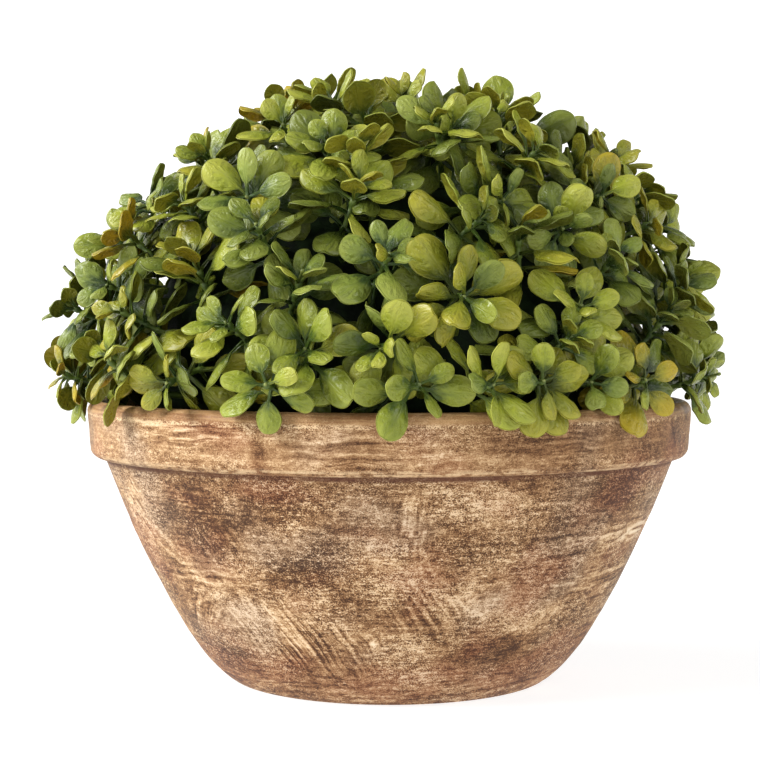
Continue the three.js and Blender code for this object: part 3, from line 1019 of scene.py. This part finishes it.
# The inner tint's share by whorl is painted shade, more of it the deeper the whorl.
SHADED_INNER_SHARE = (0.0, 0.05, 0.36, 0.68)  # share of the leaves in the inner tint, from tip inwards
SHADED_INNER_HANGING = 0.25  # how much less of it hangs over the lip
OWN_TINT = 0.22  # share of leaves with a tint of their own

# The fan of soft veins and dents: where it starts along the blade, and how far it spreads aside.
FAN_AT = 0.58
FAN_TURN = 0.42
FAN_FAR = 0.17


def leaf_places(n):
    """Across and along the leaf, its colouring, and whether it is the upper side."""
    u, v, _ = n.split(n.add("UVMap", uv_map="OFBake").outputs[0])
    column = n.math("MULTIPLY", u, float(VARIANTS))
    across = n.math("DIVIDE", n.math("MULTIPLY_ADD", n.math("FRACT", column), 2.0, -1.0), STRIP)
    half = n.math("FRACT", n.math("MULTIPLY", v, 2.0))
    along = n.math("DIVIDE", n.math("SUBTRACT", half, MARGIN), SPAN)
    return across, along, n.math("FLOOR", column), n.math("GREATER_THAN", v, 0.5)


def leaf_puckers(n, across, along, soft, mottle):
    ahead = n.math("SUBTRACT", along, FAN_AT)
    turn = n.math("ARCTAN2", n.product(across, FAN_TURN), ahead)
    far = n.total((n.product(ahead, ahead), 1.0), (n.product(across, across), FAN_FAR))
    far = n.math("SQRT", far)
    swirl = n.total((turn, 9.0), (soft, 9.0), (far, 5.0))
    return n.product(
        n.math("SINE", swirl), n.band(far, 0.08, 0.26), n.band(far, 0.46, 0.32),
        n.band(mottle, 0.4, 0.6))


def leaf_material(name, tones, seed):
    """Dark at the foot and pale at the tip, with a pale rim and soft veins, by the UV map alone."""
    n = Nodes("leaf_" + name)
    foot, blade, tip, under = tones
    across, along, variant, top = leaf_places(n)
    away = n.math("ABSOLUTE", across)
    deal = n.add("TexWhiteNoise", noise_dimensions="1D")
    n.put(deal.inputs["W"], n.math("ADD", variant, 10.0 * seed))
    luck, hue, _ = n.split(deal.outputs["Color"])
    shift = n.math("MULTIPLY_ADD", variant, 5.0, 31.0 * seed)
    spot = n.join(across, n.math("MULTIPLY", along, 2.2), shift)
    soft = n.noise(spot, scale=1.3, detail=2.0)
    mottle = n.noise(spot, scale=4.0, detail=3.0, roughness=0.6)
    puckers = leaf_puckers(n, across, along, soft, mottle)
    midrib = n.product(n.band(away, 0.09, 0.0), n.band(along, 0.95, 0.6))

    ripe = n.total((along, 1.0), (n.centred(soft), 0.8), (n.centred(luck), 0.3))
    above = n.mix(n.band(ripe, 0.22, 0.6), foot, blade)
    above = n.mix(n.band(ripe, 0.54, 1.02), above, tip)
    below = n.mix(n.band(ripe, 0.15, 0.6), foot, under)
    below = n.mix(n.band(ripe, 0.7, 1.1, 0.0, 0.6), below, tip)
    rim = n.product(n.band(away, 0.84, 1.0), n.band(along, 0.3, 0.6), 0.45)
    colour = n.mix(rim, n.mix(top, below, above), tip)
    shade = n.total((mottle, 0.22), (soft, 0.24), (puckers, 0.06), (midrib, -0.05), (hue, 0.24))
    shade = n.math("ADD", shade, 0.665)
    colour = n.mix(1.0, colour, n.join(shade, shade, shade), blend="MULTIPLY")
    height = n.total((puckers, 0.9), (mottle, 0.35), (midrib, -0.25))
    n.specular(0.4)
    n.shader.inputs["IOR"].default_value = 1.42
    return n.finish(colour, n.band(mottle, 0.3, 0.7, 0.23, 0.39), height, depth=0.55, strength=0.55)


def deal_tint(leaf):
    """The tint of a leaf: its spray's, or now and then one of its own; the inner ones are deeper,
    painted shade.
    """
    twig = leaf["twig"]["index"]
    inner = SHADED_INNER_SHARE[leaf["level"]] * (SHADED_INNER_HANGING if leaf["twig"]["hangs"] else 1)
    if draw(twig, leaf["draw"] + 70000) < inner:
        return "inner"
    own = draw(twig, leaf["draw"] + 50000) < OWN_TINT
    chance = draw(twig, leaf["draw"] + 60000) if own else draw(twig, 6)
    total = 0
    for name, (share, _) in TINTS.items():
        total += share
        if chance < total:
            return name
    return next(iter(TINTS))


def make_leaves(grown):
    faces, corners = leaf_layout()
    across, along, side = corners.T
    count = 2 * len(ROWS) * len(COLUMNS)
    for seed, (name, (_, tones)) in enumerate(TINTS.items(), start=1):
        chosen = [leaf for leaf in grown if deal_tint(leaf) == name]
        points = []
        all_faces = []
        uv = []
        for place, leaf in enumerate(chosen):
            points.append(leaf_solid(leaf))
            all_faces += [tuple(p + place * count for p in face) for face in faces]
            u = (place % VARIANTS + 0.5 + 0.5 * across) / VARIANTS
            uv.append(np.stack([u, (side + along) / 2], axis=-1))
        make_piece(
            "leaves_" + name, np.concatenate(points), all_faces, leaf_material(name, tones, seed),
            "foliage", "foliage_dome", uv=np.concatenate(uv))


# ---- foliage: twigs, nubs and core ----

def tube(path, radii, sides, first, second):
    """Points and faces of a tube along a path, capped at both ends."""
    angles = np.arange(sides) / sides * TURN
    ring = np.cos(angles)[:, None] * first + np.sin(angles)[:, None] * second
    points = np.concatenate([centre + radius * ring for centre, radius in zip(path, radii)])
    return points, capped_faces(len(path), sides)


def join_solids(solids):
    points = []
    faces = []
    count = 0
    for some, polygons in solids:
        points.append(some)
        faces += [tuple(p + count for p in face) for face in polygons]
        count += len(some)
    return np.concatenate(points), faces


# Collars and nubs: how far past their place along the twig, and the radius.
COLLAR = ((-1.5, 0.8), (-1.0, 1.15), (0.4, 1.1), (0.8, 0.75))
NUB = ((0.2, 0.5), (0, 0.45), (0.2, 0.55), (0.6, 0.62), (1.0, 0.45), (1.15, 0.2))
PEG = 4.5  # length of the peg under a bare shoot's nub
SHORT_PEG = 0.5  # and under any other's


def make_twigs(twigs):
    stems = []
    nubs = []
    for twig in twigs:
        elbow, tip, axis = twig["elbow"], twig["tip"], twig["axis"]
        first, second = twig["first"], twig["second"]
        length = np.linalg.norm(tip - elbow)
        path = [twig["root"], elbow - unit(elbow - twig["root"]) * 2]
        radii = [1.6, 1.15]
        for below, _, _, _ in WHORLS[::-1]:  # each whorl sits in a collar
            for past, radius in COLLAR:
                path.append(elbow + axis * (length - below + past))
                radii.append(radius)
        stems.append(tube(path, radii, 8, first, second))
        peg = PEG if twig["bare"] else SHORT_PEG
        stops = [NUB[0][0]] + [peg + past for past, _ in NUB[1:]]  # its foot stays at the tip
        path = [tip + axis * stop for stop in stops]
        nubs.append(tube(path, [radius for _, radius in NUB], 8, first, second))
    twig_plastic = two_tone(
        "twig_plastic", 260.0, ((0.036, 0.066, 0.01), (0.095, 0.138, 0.022)), (0.32, 0.5), 0.3,
        specular=0.3)
    nub_plastic = two_tone(
        "nub_plastic", 700.0, ((0.075, 0.105, 0.022), (0.2, 0.235, 0.05)), (0.35, 0.5), 0.2)
    make_piece("twigs", *join_solids(stems), twig_plastic, "foliage", "foliage_dome")
    make_piece("twig_nubs", *join_solids(nubs), nub_plastic, "foliage", "foliage_dome")


def make_core():
    profile = [(6, CORE_BASE), (40, CORE_BASE), (CORE_RADIUS - 4, CORE_BASE)]
    for angle in np.linspace(0, math.pi / 2 - 0.03, 30):
        profile.append((CORE_RADIUS * math.cos(angle), CENTRE[2] + CORE_TOP * math.sin(angle)))
    points, faces = turned(profile, 120)
    outwards = points - CENTRE
    outwards /= np.linalg.norm(outwards, axis=1)[:, None]
    lumps = 1.6 * field(points, 9, 11) + 0.8 * field(points, 4, 12)
    rises = smooth(CORE_BASE, CORE_BASE + 6, points[:, 2])
    points = points + outwards * ((lumps - 1.5) * rises)[:, None]
    # The core is the frame under the tufts; its near-black colour is painted shade for the dark gaps
    # deep in the ball.
    dark = two_tone(
        "dark_core_painted_shade", 160.0, ((0.004, 0.008, 0.003), (0.014, 0.028, 0.009)), (0.6, 0.9), 1.0,
        blend=(0.4, 0.7), specular=0.1, detail=3.0, roughness=0.65)
    make_piece("foliage_core", points, faces, dark, "foliage", "foliage_dome")


# ---- stage, lights and camera ----

CAMERA_PLACE = (-3.04, -570, 117.2)
CAMERA_DOWN = 1.87  # degrees by which it looks down
LENS = 79.9
WORLD = 0.215  # strength of the even light from all round
AIM = (0, 0, 0.1)  # where the lights point, in metres
LIGHTS = {  # place and width in metres, power in watts
    "key": ((-1.42, -0.7, 1.14), 0.95, 39.5),
    "edge": ((-1.3, 0.55, 0.95), 0.8, 13),
    "fill": ((1.15, -0.95, 1.15), 0.9, 8),
}
FLOOR_SWEEP = [(10, 0), (700, 0), (1500, 0), *arc(1500, 700, 700, -85, -10, 14), (2300, 900)]


def make_stage():
    """A pale floor that turns up all round into a low wall, seamless from every side."""
    points, faces = turned(FLOOR_SWEEP, 96)
    mesh = bpy.data.meshes.new("floor")
    mesh.from_pydata((points * MM).tolist(), [], faces[:-1])
    mesh.shade_smooth()
    n = Nodes("pale_floor")
    n.finish((0.35, 0.35, 0.35, 1), 0.9)
    x, y, _ = n.split(n.add("TexCoord").outputs["Object"])
    far = n.math("SQRT", n.total((n.product(x, x), 1.0), (n.product(y, y), 1.0)))
    n.shader.inputs["Emission Color"].default_value = (1, 1, 1, 1)
    n.put(n.shader.inputs["Emission Strength"], n.band(far, 0.1, 2.2, 0.8, 0.95))
    n.material.cycles.emission_sampling = "NONE"  # it is only met by rays, like the world
    mesh.materials.append(n.material)
    floor = bpy.data.objects.new("floor", mesh)
    bpy.context.scene.collection.objects.link(floor)


def make_light(name, place, size, power):
    light = bpy.data.lights.new(name, "AREA")
    light.shape = "DISK"
    light.size = size
    light.energy = power
    lamp = bpy.data.objects.new(name, light)
    lamp.location = place
    aim = Vector(AIM) - Vector(place)
    lamp.rotation_euler = aim.to_track_quat("-Z", "Y").to_euler()
    bpy.context.scene.collection.objects.link(lamp)


def make_camera():
    data = bpy.data.cameras.new("camera")
    data.lens = LENS
    data.sensor_width = 36
    data.clip_start = 0.01
    camera = bpy.data.objects.new("camera", data)
    camera.location = [c * MM for c in CAMERA_PLACE]
    camera.rotation_euler = (math.radians(90 - CAMERA_DOWN), 0, 0)
    bpy.context.scene.collection.objects.link(camera)
    bpy.context.scene.camera = camera


def make_world():
    world = bpy.data.worlds.new("studio")
    world.use_nodes = True
    background = world.node_tree.nodes["Background"]
    background.inputs["Color"].default_value = (1, 1, 1, 1)
    background.inputs["Strength"].default_value = WORLD
    bpy.context.scene.world = world
    bpy.context.scene.view_settings.view_transform = "Standard"


# ---- the plant ----

make_camera()
make_world()
make_stage()
for title, (place, size, power) in LIGHTS.items():
    make_light(title, place, size, power)

make_pot()
make_foam()
finish_stem()

TUFTS = [tuft(i) for i in range(SPRIGS)]
LEAVES = grow_leaves(TUFTS)
make_core()
make_twigs(TUFTS)
make_leaves(LEAVES)
